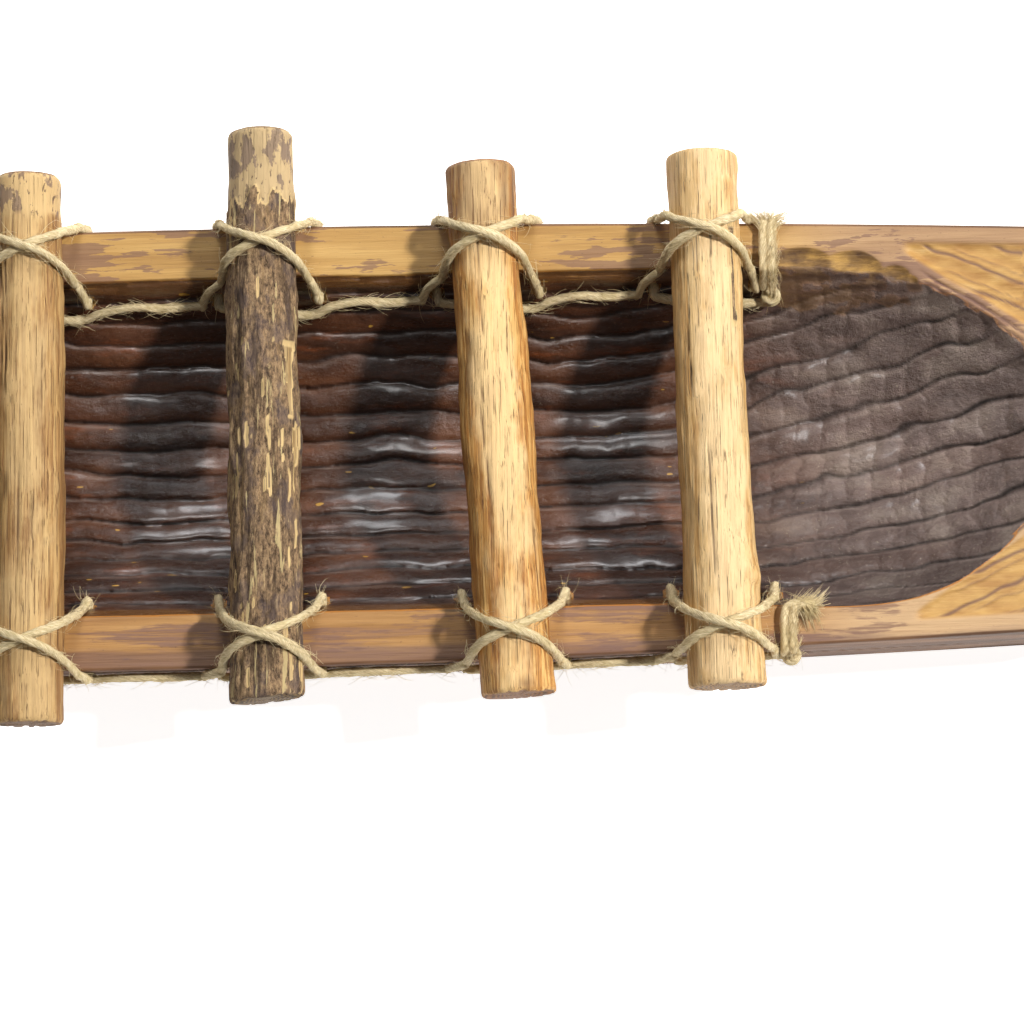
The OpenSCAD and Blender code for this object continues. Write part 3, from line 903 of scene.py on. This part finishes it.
def rung_surface(k, along, angle):
    """How far a rung's surface stands off its plain radius, and its finish masks."""
    zeros = np.zeros(np.broadcast(along, angle).shape)
    fibre = (0.15 * lattice_noise(100 + k, angle * 14, along / 40)
             + 0.12 * lattice_noise(130 + k, angle * 30, along / 22))
    lumps = 0.95 * layered_noise(160 + k, angle * 1.1 + 5, along / 42, 3)
    lumps = lumps + 0.35 * layered_noise(190 + k, angle * 2.5, along / 11, 2)
    stand = fibre + lumps
    bark = zeros + 0
    dark = zeros + 0
    raw = zeros + 0
    if k == 3:
        edge = (121 + 7 * lattice_noise(201, angle * 3.0, 0 * along)
                + 3 * lattice_noise(202, angle * 11, 0 * along))
        bark = 1 - ease(along, edge - 0.8, edge + 0.8)
        bare_width = 0.16 + 0.1 * lattice_noise(203, along / 17, 0 * angle)
        bare_strip = turn_gap(angle, 0.62) < bare_width
        bare_here = ease(along, 8, 12) * (1 - ease(along, 44, 50))
        bark = bark * (1 - bare_strip * bare_here)
        streak = ease(layered_noise(204, angle * 7.5, along / 24, 3), 0.78, 0.9)
        bark = bark * (1 - streak)
        ridges = 1.1 * layered_noise(205, angle * 4.5, along / 24, 4)
        stand = stand + bark * (0.1 + np.clip(ridges, -1.1, 1.3)) - 0.5 * (1 - bark)
        raw = (1 - bark) * ease(along, edge - 2, edge + 2)
    else:
        groove_count = (3, 2, 4, 5)[k % 4]
        rng = np.random.default_rng(300 + k)
        for _ in range(groove_count):
            at = rng.uniform(0.2, math.pi - 0.2)
            start = rng.uniform(-100, 60)
            length = rng.uniform(40, 110)
            wander = 0.05 * lattice_noise(310 + k, along / 22, 0 * angle + at)
            gap = np.abs(angle - at - wander) * RUNG_RADIUS
            here = ease(along, start, start + 12) * (1 - ease(along, start + length - 12, start + length))
            cut = np.clip(1 - gap / 0.55, 0, 1) * here
            stand = stand - 0.9 * cut
            dark = np.maximum(dark, cut)
    if k == 5:
        knot = np.exp(-((along + 74) / 13) ** 2 - (turn_gap(angle, 0.35) / 0.5) ** 2)
        stand = stand + 2.3 * knot
        strip = turn_gap(angle, 0.72) < 0.09 + 0.05 * lattice_noise(401, along / 9, 0 * angle)
        here = ease(along, 48, 54) * (1 - ease(along, 98, 106))
        bark = np.maximum(bark, strip * here)
        stand = stand + 0.3 * strip * here
    if k == 4:
        spot = np.exp(-((along + 126) / 3.4) ** 2 - (turn_gap(angle, 1.3) / 0.22) ** 2)
        browned = ease(along, 88, 112) * (0.55 + 0.35 * layered_noise(403, angle * 5, along / 30, 2))
        dark = np.maximum(np.maximum(dark, 0.7 * spot), np.clip(browned, 0, 1))
    if k in (0, 2):
        raw = ease(along, 112 + 5 * lattice_noise(402 + k, angle * 3, 0 * along), 118)
    guard = 1 - ease(np.abs(np.abs(along) - RAIL_MID), 16, 24)
    held = np.clip(stand, -0.6, 0.35)
    stand = stand * (1 - guard) + held * guard
    return stand, {"bark": bark, "dark": dark, "raw": raw}


def make_rung(k):
    """One rung, as a bowed and weathered branch with its two sawn ends."""
    row = RUNGS[k]
    far = HALF_WIDTH + row[2]
    near = HALF_WIDTH + row[3]
    lean = math.radians(row[1])
    far_kind = "domed" if k in (2, 3, 4) else "sawn"
    near_end = end_profile("sawn")
    far_end = end_profile(far_kind)
    along = [-near + back for back, _ in near_end[::-1]]
    share = [size for _, size in near_end[::-1]]
    body = np.arange(-near + near_end[0][0] + STEP, far - far_end[0][0] - STEP / 2, STEP)
    along += body.tolist()
    share += [1.0] * len(body)
    along += [far - back for back, _ in far_end]
    share += [size for _, size in far_end]
    along = np.array(along)[:, None]
    share = np.array(share)[:, None]
    angle = ring_angles(ROUND)[None, :]
    plain = rung_size(k, along)
    turned = angle * np.ones_like(along)
    stand, masks = rung_surface(k, along, turned)
    seam = ease(turned, 2 * math.pi - 0.5, 2 * math.pi)
    first, _ = rung_surface(k, along, turned - 2 * math.pi)
    stand = stand * (1 - seam) + first * seam
    radius = (plain + stand) * share
    bow_x = 0.7 * np.sin(along / 60 + k)
    x = rung_x(k) + radius * np.cos(angle) - along * math.sin(lean) + bow_x
    y = along * math.cos(lean) + radius * np.cos(angle) * math.sin(lean)
    z = RUNG_AXIS_Z + radius * np.sin(angle)
    if k == 3:
        y = y + (ease(-along, near - 20, near - 2)) * 3.0 * (1 + np.cos(angle)) / 2
    ragged = 0.9 * lattice_noise(500 + k, angle * 9, 0 * along)
    y = y + ease(-along, near - 5, near) * np.maximum(ragged, 0)
    corners = np.stack([x, y, z], axis=-1)
    count = len(along)
    cap_shares = (0.8, 0.6, 0.4, 0.2, 0.05)
    full = [corners.reshape(-1, 3)]
    faces = band_faces(count, ROUND)
    labels = {label: [np.broadcast_to(v, radius.shape).ravel()] for label, v in masks.items()}
    labels["cut"] = [np.broadcast_to((share < 0.93) * 1.0, radius.shape).ravel()]
    labels["ring"] = [np.broadcast_to(plain * share, radius.shape).ravel()]
    # The crown mask feeds the painted highlight and painted shade on each rung.
    labels["crown"] = [np.broadcast_to(np.sin(angle + 0.12), radius.shape).ravel()]
    start = count * ROUND
    for end, base, way in ((0, 0, -1), (count - 1, (count - 1) * ROUND, 1)):
        rim = corners[end]
        middle = rim.mean(axis=0)
        last = base
        for size in cap_shares:
            ring = middle + (rim - middle) * size
            dish = 0.25 * math.sin(size * 30)
            crown = 1.4 * (1 - size**2) if (way > 0 and far_kind == "domed") else 0.2 * (1 - size)
            ring = ring + (0, way * (dish * 0.3 + crown * 0.6), 0)
            full.append(ring)
            for label in labels:
                value = {"cut": 1.0, "ring": size * RUNG_RADIUS}.get(label, 0.0)
                labels[label].append(np.full(ROUND, value))
            index = np.arange(ROUND)
            after = (index + 1) % ROUND
            quads = np.stack([last + index, last + after, start + after, start + index], axis=-1)
            if way < 0:
                quads = quads[:, ::-1]
            faces += quads.tolist()
            last = start
            start += ROUND
        cap = list(range(last, last + ROUND))
        faces.append(cap if way > 0 else cap[::-1])
    flat = {label: np.concatenate(values) for label, values in labels.items()}
    return solid_mesh(f"rung_{k + 1}_branch", np.vstack(full), [face[::-1] for face in faces], flat)


rungs = [make_rung(k) for k in range(len(RUNGS))]


# ---- finishes ----

def paint(colour):
    """A socket's colour from its red, green and blue, 0 to 255; a Tone stays as it is."""
    if isinstance(colour, Tone):
        return colour
    shares = [value / 255 for value in colour]
    linear = [share / 12.92 if share <= 0.04045 else ((share + 0.055) / 1.055) ** 2.4
              for share in shares]
    return (*linear, 1.0)


class Tone:
    """A socket's value, with Python's own signs for sums on it."""

    def __init__(self, finish, socket):
        self.finish = finish
        self.socket = socket

    def maths(self, operation, *values):
        sockets = {i: value for i, value in enumerate(values)}
        return self.finish.node("ShaderNodeMath", {"operation": operation}, sockets)

    def __add__(self, other):
        return self.maths("ADD", self, other)

    __radd__ = __add__

    def __sub__(self, other):
        return self.maths("SUBTRACT", self, other)

    def __rsub__(self, other):
        return self.maths("SUBTRACT", other, self)

    def __mul__(self, other):
        return self.maths("MULTIPLY", self, other)

    __rmul__ = __mul__

    def rise(self, start, end):
        """0 up to start, 1 from end, and a smooth rise between."""
        settings = {"interpolation_type": "SMOOTHSTEP"}
        sockets = {"Value": self, "From Min": start, "From Max": end}
        return self.finish.node("ShaderNodeMapRange", settings, sockets)

    def size(self):
        return self.maths("ABSOLUTE", self)


class Finish:
    """One material and the nodes it is made of."""

    def __init__(self, name):
        self.material = bpy.data.materials.new(name)
        self.material.use_nodes = True
        self.tree = self.material.node_tree
        self.tree.nodes.clear()
        self.place = self.node("ShaderNodeTexCoord", {}, {}, "Object")

    def node(self, kind, settings, sockets, out=0):
        made = self.tree.nodes.new(kind)
        for name, value in settings.items():
            if name == "stops":
                self.set_stops(made.color_ramp, value)
            else:
                setattr(made, name, value)
        for name, value in sockets.items():
            if isinstance(value, Tone):
                self.tree.links.new(value.socket, made.inputs[name])
            else:
                made.inputs[name].default_value = value
        return Tone(self, made.outputs[out]) if len(made.outputs) else None

    def set_stops(self, ramp, stops):
        while len(ramp.elements) < len(stops):
            ramp.elements.new(1.0)
        for element, (position, colour) in zip(ramp.elements, stops):
            element.position = position
            element.color = paint(colour)

    def mask(self, name):
        return self.node("ShaderNodeAttribute", {"attribute_name": name}, {}, "Fac")

    def part_of_place(self, axis):
        return self.node("ShaderNodeSeparateXYZ", {}, {0: self.place}, axis)

    def stretched(self, x, y, z):
        return self.node("ShaderNodeVectorMath", {"operation": "MULTIPLY"}, {0: self.place, 1: (x, y, z)})

    def noise(self, scale, detail=4.0, roughness=0.55, distortion=0.0):
        """Noise whose bumps are so many to the metre along each axis."""
        sockets = {"Vector": self.stretched(*scale), "Scale": 1.0, "Detail": detail,
                   "Roughness": roughness, "Distortion": distortion}
        return self.node("ShaderNodeTexNoise", {}, sockets)

    def ramp(self, value, *stops):
        return self.node("ShaderNodeValToRGB", {"stops": stops}, {"Fac": value})

    def blend(self, share, under, over):
        settings = {"data_type": "RGBA", "blend_type": "MIX", "clamp_factor": True}
        sockets = {0: share, 6: paint(under), 7: paint(over)}
        return self.node("ShaderNodeMix", settings, sockets, 2)

    def layers(self, colour, *coats):
        """A colour with coats laid over it in turn, each a share and a colour."""
        for share, over in coats:
            colour = self.blend(share, colour, over)
        return colour

    def close(self, colour, roughness, height, distance, **fixed):
        """Joins a colour, a roughness and a height in millimetres to the surface."""
        raised_by = {"Strength": 1.0, "Distance": distance * METRES, "Height": height}
        bump = self.node("ShaderNodeBump", {}, raised_by)
        sockets = {"Base Color": colour, "Roughness": roughness, "Normal": bump}
        sockets.update({name.replace("_", " "): value for name, value in fixed.items()})
        surface = self.node("ShaderNodeBsdfPrincipled", {}, sockets)
        self.node("ShaderNodeOutputMaterial", {}, {"Surface": surface})
        return self.material


def hewn_timber():
    """The hull's wood: bare tan rails, dark smoked hollow, and ochre carving, with painted shade in the
    hollow's creases and the carved lines, and painted highlights along the hollow's strips and, with wear,
    on the rim.
    """
    finish = Finish("hull_timber_finish")
    x = finish.part_of_place("X")
    y = finish.part_of_place("Y")
    hollow = finish.mask("hollow")
    crease = finish.mask("crease")
    fresh = finish.mask("fresh")
    panel = finish.mask("panel")
    marks = finish.mask("marks")
    chip = finish.mask("chip")
    side = finish.mask("side")
    to_end = x.size().rise(0.26, 0.36)
    on_deck = x.size().rise(0.29, 0.37)

    long_grain = finish.noise((9, 150, 150), 5)
    fine_grain = finish.noise((26, 700, 700), 5, 0.65)
    streaks = finish.noise((16, 120, 120), 4, 0.6, 0.4)
    cloud = finish.noise((14, 34, 34), 4)
    speck = finish.noise((500, 900, 900), 2)

    far_wood = finish.ramp(long_grain, (0.25, (146, 106, 54)), (0.5, (178, 138, 76)),
                           (0.75, (198, 160, 96)))
    near_wood = finish.ramp(long_grain, (0.25, (132, 90, 50)), (0.5, (164, 120, 68)),
                            (0.75, (188, 144, 88)))
    rail = finish.blend(y.rise(-0.05, 0.03), near_wood, far_wood)
    deck_wood = finish.ramp(long_grain, (0.2, (140, 106, 80)), (0.5, (164, 130, 98)),
                            (0.8, (186, 152, 116)))
    deck_wood = finish.blend((1 - y.rise(-0.03, 0.03)) * 0.6, deck_wood, (204, 172, 130))
    rail = finish.blend(on_deck * 0.85, rail, deck_wood)
    ragged = finish.noise((26, 190, 190), 6, 0.6)
    stain = ragged * 0.55 + streaks * 0.45 + (cloud - 0.5) * 0.5
    far_side = y.rise(-0.05, 0.03)
    flaked = stain.rise(0.528, 0.540) * far_side * 0.7
    rub_and_highlight = stain.rise(0.535, 0.585) * (1 - far_side) * (0.35 + fine_grain.rise(0.40, 0.55) * 0.4)
    rail = finish.blend(flaked + rub_and_highlight, rail, (118, 86, 72))
    mauve_edge = (0 - y + (ragged - 0.5) * 0.012).rise(0.0995, 0.1050)
    rail = finish.blend(mauve_edge * 0.6, rail, (104, 78, 74))
    ruddy = (1 - y.rise(-0.05, 0.03)) * (1 - on_deck) * streaks.rise(0.47, 0.55)
    rail = finish.layers(
        rail,
        (ruddy * fine_grain.rise(0.42, 0.55) * 0.45, (128, 96, 84)),
        (fine_grain.rise(0.52, 0.75) * 0.45, (140, 104, 72)),
        (speck.rise(0.66, 0.74) * 0.4, (92, 66, 50)),
    )

    warm_panel = finish.ramp(finish.noise((60, 160, 160), 4), (0.3, (164, 118, 56)),
                             (0.6, (192, 150, 82)), (0.8, (208, 172, 112)))
    rail = finish.layers(
        rail,
        (panel * 0.85, warm_panel),
        # Painted shade in the carved tool lines.
        (marks * 0.9, (96, 66, 62)),
    )
    chipped = finish.ramp(finish.noise((50, 130, 130), 5, 0.6), (0.34, (74, 48, 28)),
                          (0.5, (126, 94, 48)), (0.66, (178, 138, 70)))
    z = finish.part_of_place("Z")
    low_chip = 1 - (z + (streaks - 0.5) * 0.012).rise(RAIL_TOP * METRES - 0.0100, RAIL_TOP * METRES - 0.0030)
    chipped = finish.blend(low_chip * 0.8, chipped, (82, 56, 32))
    rail = finish.blend(chip, rail, chipped)

    outer = finish.ramp(finish.noise((12, 90, 60), 5), (0.25, (58, 36, 24)), (0.5, (104, 70, 46)),
                        (0.75, (150, 108, 72)))
    rail = finish.blend(side * 0.9, rail, outer)

    smoke = finish.noise((24, 60, 60), 5, 0.6)
    rust = finish.noise((30, 110, 110), 4, 0.6)
    dark_wood = finish.ramp(smoke, (0.3, (42, 23, 14)), (0.5, (74, 43, 26)), (0.7, (106, 68, 46)))
    dark_wood = finish.blend(rust.rise(0.54, 0.72) * 0.55, dark_wood, (134, 72, 36))
    dust_wood = finish.ramp(smoke, (0.3, (84, 69, 64)), (0.5, (124, 107, 101)), (0.72, (158, 145, 134)))
    dark_wood = finish.layers(
        dark_wood,
        (to_end * 0.85, dust_wood),
        (fresh.rise(0.55, 0.95) * (0.45 - to_end * 0.3), (118, 80, 62)),
        ((1 - fresh).rise(0.55, 0.95) * (0.45 - to_end * 0.25), (40, 24, 18)),
        ((0 - y).rise(0.030, 0.075) * 0.5, (38, 23, 19)),
    )
    dust = finish.noise((520, 620, 620), 3, 0.7)
    dark_wood = finish.blend(dust.rise(0.60, 0.72) * (0.22 + to_end * 0.3), dark_wood, (172, 158, 140))
    splinter = finish.noise((90, 240, 240), 1, 0.4).rise(0.762, 0.778) * (1 - to_end)
    dark_wood = finish.blend(splinter * 0.85, dark_wood, (196, 152, 66))
    lip = finish.mask("lip")
    dark_wood = finish.layers(
        dark_wood,
        # Painted highlight along each strip.
        (lip * 0.4, (176, 160, 150)),
        # Near-black painted shade in the creases.
        (crease * 0.95, (14, 8, 6)),
    )
    wall_top = (z + (long_grain - 0.5) * 0.010).rise(0.0655, 0.0690) * (1 - to_end)
    dark_wood = finish.layers(
        dark_wood,
        (wall_top * 0.8, (104, 68, 34)),
        (wall_top * fine_grain.rise(0.55, 0.7) * 0.7, (150, 108, 54)),
    )

    colour = finish.blend(hollow, rail, dark_wood)
    # A bright orange line along the rim: partly a worn edge, partly a painted highlight, stronger on the
    # near side.
    worn_rim_and_highlight = (hollow * (1 - hollow) * 4) * (1 - side) * (1 - chip)
    wear_and_highlight_share = 0.30 + (1 - y.rise(-0.02, 0.02)) * 0.45
    colour = finish.blend(worn_rim_and_highlight.rise(0.3, 0.9) * wear_and_highlight_share, colour, (190, 122, 46))
    dull = 0.62 + (fine_grain - 0.5) * 0.3
    sheen_patch = finish.noise((60, 200, 200), 4)
    gloss = 0.29 + (sheen_patch - 0.5) * 0.5 + to_end * 0.16 + crease * 0.3
    roughness = dull * (1 - hollow) + gloss * hollow
    grain_height = (fine_grain - 0.5) * 0.5 + (long_grain - 0.5) * 0.3
    pebbled = finish.noise((230, 330, 330), 6, 0.72)
    rough_height = (pebbled - 0.5) * (0.9 + to_end * 1.3)
    height = grain_height * (1 - hollow) + rough_height * hollow
    gloss_patch = finish.noise((16, 55, 55), 3)
    varnish = hollow * (0.10 + gloss_patch.rise(0.50, 0.60) * 0.9) * (1 - crease)
    return finish.close(colour, roughness, height, 0.9, Coat_Weight=varnish, Coat_Roughness=0.30,
                        Specular_IOR_Level=0.35)


def branch_wood(name, tones, worn_and_highlight_tone, dark_tone, patch_share, dryness):
    """Peeled branch wood: fine fibres, a painted highlight on the crown, painted shade on the flanks, bark
    scraps, sawn ends.
    """
    finish = Finish(name)
    bark = finish.mask("bark")
    dark = finish.mask("dark")
    raw = finish.mask("raw")
    cut = finish.mask("cut")
    ring = finish.mask("ring")
    crown = finish.mask("crown")
    fibre = finish.noise((700, 15, 700), 6, 0.7)
    thread = finish.noise((1500, 16, 1500), 3, 0.6)
    streak = finish.noise((210, 9, 210), 5, 0.66, 0.3)
    cloud = finish.noise((55, 24, 55), 4, 0.6)
    fleck = finish.noise((900, 170, 900), 3, 0.7)
    wood = finish.ramp(fibre, (0.36, tones[0]), (0.50, tones[1]), (0.62, tones[2]))
    wood = finish.layers(
        wood,
        (cloud.rise(0.50, 0.62) * patch_share, tones[0]),
        (streak.rise(0.53, 0.60) * 0.6, tones[2]),
        ((1 - streak).rise(0.55, 0.61) * 0.7, tones[0]),
    )
    # Paler top of each rung, leaning to the key lamp's side: a painted highlight.
    rub_and_highlight = (crown + (cloud - 0.5) * 1.6).rise(0.62, 1.05)
    wood = finish.layers(
        wood,
        (rub_and_highlight * 0.7, worn_and_highlight_tone),
        # Darker flanks and underside: painted shade.
        ((0 - crown).rise(-0.55, 0.25) * 0.5, tones[0]),
        (thread.rise(0.57, 0.66) * 0.65, dark_tone),
        (fleck.rise(0.63, 0.72) * 0.4, dark_tone),
    )

    bark_grain = finish.noise((520, 190, 520), 8, 0.8)
    bark_tone = finish.ramp(bark_grain, (0.38, (58, 45, 36)), (0.46, (116, 94, 72)),
                            (0.54, (160, 131, 98)), (0.64, (192, 164, 124)))
    furrow = finish.noise((170, 15, 170), 5, 0.65, 0.3)
    bark_tone = finish.layers(
        bark_tone,
        (furrow.rise(0.53, 0.62) * 0.7, (72, 56, 44)),
        ((1 - furrow).rise(0.55, 0.66) * 0.45, (168, 136, 94)),
    )
    mauve = finish.noise((70, 42, 70), 5, 0.65)
    bark_tone = finish.blend(mauve.rise(0.50, 0.62) * 0.5, bark_tone, (92, 80, 82))
    pale = finish.noise((250, 30, 250), 5, 0.66, 0.8)
    bark_tone = finish.blend(pale.rise(0.605, 0.635) * 0.9, bark_tone, (206, 184, 134))
    wood = finish.blend(bark, wood, bark_tone)
    torn = (bark * (1 - bark) * 4).rise(0.25, 0.8)
    wood = finish.blend(torn * 0.8, wood, (222, 192, 136))

    blot = finish.noise((105, 60, 105), 5, 0.6)
    spots = finish.noise((480, 170, 480), 3, 0.6)
    bare = finish.blend(blot.rise(0.54, 0.58) * 0.85, worn_and_highlight_tone, (104, 86, 82))
    bare = finish.blend(spots.rise(0.61, 0.66) * 0.9, bare, (74, 58, 50))
    wood = finish.layers(
        wood,
        (raw * 0.8, bare),
        (dark * 0.9, dark_tone),
    )
    year = ring.maths("SINE", ring * 2.6 + cloud * 5)
    end_wood = finish.ramp(year * 0.5 + 0.5, (0.2, tones[0]), (0.8, dark_tone))
    wood = finish.blend(cut * 0.85, wood, end_wood)
    roughness = 0.56 + (fibre - 0.5) * 0.35 + bark * 0.25 + dryness
    wood_height = (fibre - 0.5) * 0.8 + (streak - 0.5) * 0.5 - thread.rise(0.57, 0.70) * 0.3
    bark_height = (bark_grain - 0.5) * 1.6 - furrow.rise(0.53, 0.62) * 0.5
    height = wood_height * (1 - bark) + bark_height * bark
    return finish.close(wood, roughness, height, 1.0, Specular_IOR_Level=0.25)


def natural_twine():
    """Undyed twine: pale straw fibres, with painted shade between the plies."""
    finish = Finish("lashing_twine_finish")
    groove = finish.mask("groove")
    strand = finish.mask("strand")
    length = finish.mask("length")
    lie = finish.node("ShaderNodeCombineXYZ", {}, {"X": strand * 5, "Y": length * 1.3, "Z": 0.0})
    weave = {"Vector": lie, "Scale": 2.2, "Detail": 5.0, "Roughness": 0.65}
    fibre = finish.node("ShaderNodeTexNoise", {}, weave)
    blotch = finish.noise((90, 90, 90), 3)
    tone = finish.ramp(fibre, (0.30, (156, 130, 86)), (0.48, (208, 188, 144)), (0.66, (240, 226, 188)))
    tone = finish.layers(
        tone,
        # Painted shade between the plies.
        (groove.rise(0.6, 1.0) * 0.3, (140, 118, 72)),
        (blotch.rise(0.5, 0.64) * 0.35, (186, 166, 112)),
    )
    roughness = 0.82 + (fibre - 0.5) * 0.2
    return finish.close(tone, roughness, fibre, 0.5)


tan_wood = branch_wood("tan_branch_finish", ((128, 90, 52), (168, 128, 78), (198, 162, 106)),
                       (208, 176, 124), (88, 60, 40), 0.4, 0.06)
bark_wood = branch_wood("bark_branch_finish", ((140, 112, 74), (176, 146, 100), (200, 174, 128)),
                        (190, 164, 122), (66, 52, 46), 0.3, 0.1)
golden_wood = branch_wood("golden_branch_finish", ((148, 94, 42), (194, 138, 72), (224, 182, 114)),
                          (242, 210, 154), (92, 56, 30), 0.55, 0.02)
straw_wood = branch_wood("straw_branch_finish", ((176, 132, 76), (206, 166, 108), (226, 194, 140)),
                         (238, 208, 160), (96, 76, 58), 0.3, 0.02)
rung_woods = [tan_wood, golden_wood, tan_wood, bark_wood, golden_wood, straw_wood]

timber = hewn_timber()
twine = natural_twine()


def fit(piece, node, finish):
    """Puts a piece on the toboggan in place of its plain solid."""
    piece.data.materials.clear()
    piece.data.materials.append(finish)
    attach(piece, BODY)
    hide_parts(node)


fit(hull_timber, "hull", timber)
for k, rung in enumerate(rungs):
    fit(rung, f"rung_{k + 1}", rung_woods[k])
fit(far_twine, "far_lashing_cord", twine)
fit(near_twine, "near_lashing_cord", twine)


# ---- floor and light ----

def make_floor():
    """A plain pale floor under the sole, with a little light of its own to keep it even."""
    reach = 4000
    corners = [(-reach, -reach, 0), (reach, -reach, 0), (reach, reach, 0), (-reach, reach, 0)]
    floor = solid_mesh("floor", corners, [(0, 1, 2, 3)])
    finish = Finish("floor_finish")
    cloud = finish.noise((3, 3, 3), 2)
    colour = finish.ramp(cloud, (0.3, (240, 240, 240)), (0.7, (244, 244, 243)))
    glow = {"Emission_Color": (1, 1, 1, 1), "Emission_Strength": 0.84}
    floor.data.materials.append(finish.close(colour, 0.8, cloud, 0.01, **glow))


make_floor()

world = bpy.data.worlds.new("studio")
world.use_nodes = True
world.node_tree.nodes["Background"].inputs["Color"].default_value = (1, 1, 1, 1)
world.node_tree.nodes["Background"].inputs["Strength"].default_value = 0.15
bpy.context.scene.world = world
bpy.context.scene.view_settings.view_transform = "Standard"

LAMP_TARGET = (0.15, 0, 0.05)
soft_lamp("key_lamp", (2.85, 0.45, 3.20), LAMP_TARGET, 0.30, 222, (1.0, 0.975, 0.94))
soft_lamp("far_lamp", (0.0, 1.75, 1.30), LAMP_TARGET, 0.70, 25, (0.97, 0.98, 1.0))
sheen = soft_lamp("sheen_lamp", (-0.04, 0.23, 1.85), (0.10, 0, 0.02), 0.12, 12, (1.0, 0.99, 0.98))
sheen.data.shape = "RECTANGLE"
sheen.data.size = 0.55
sheen.data.size_y = 0.12
sheen.visible_diffuse = False
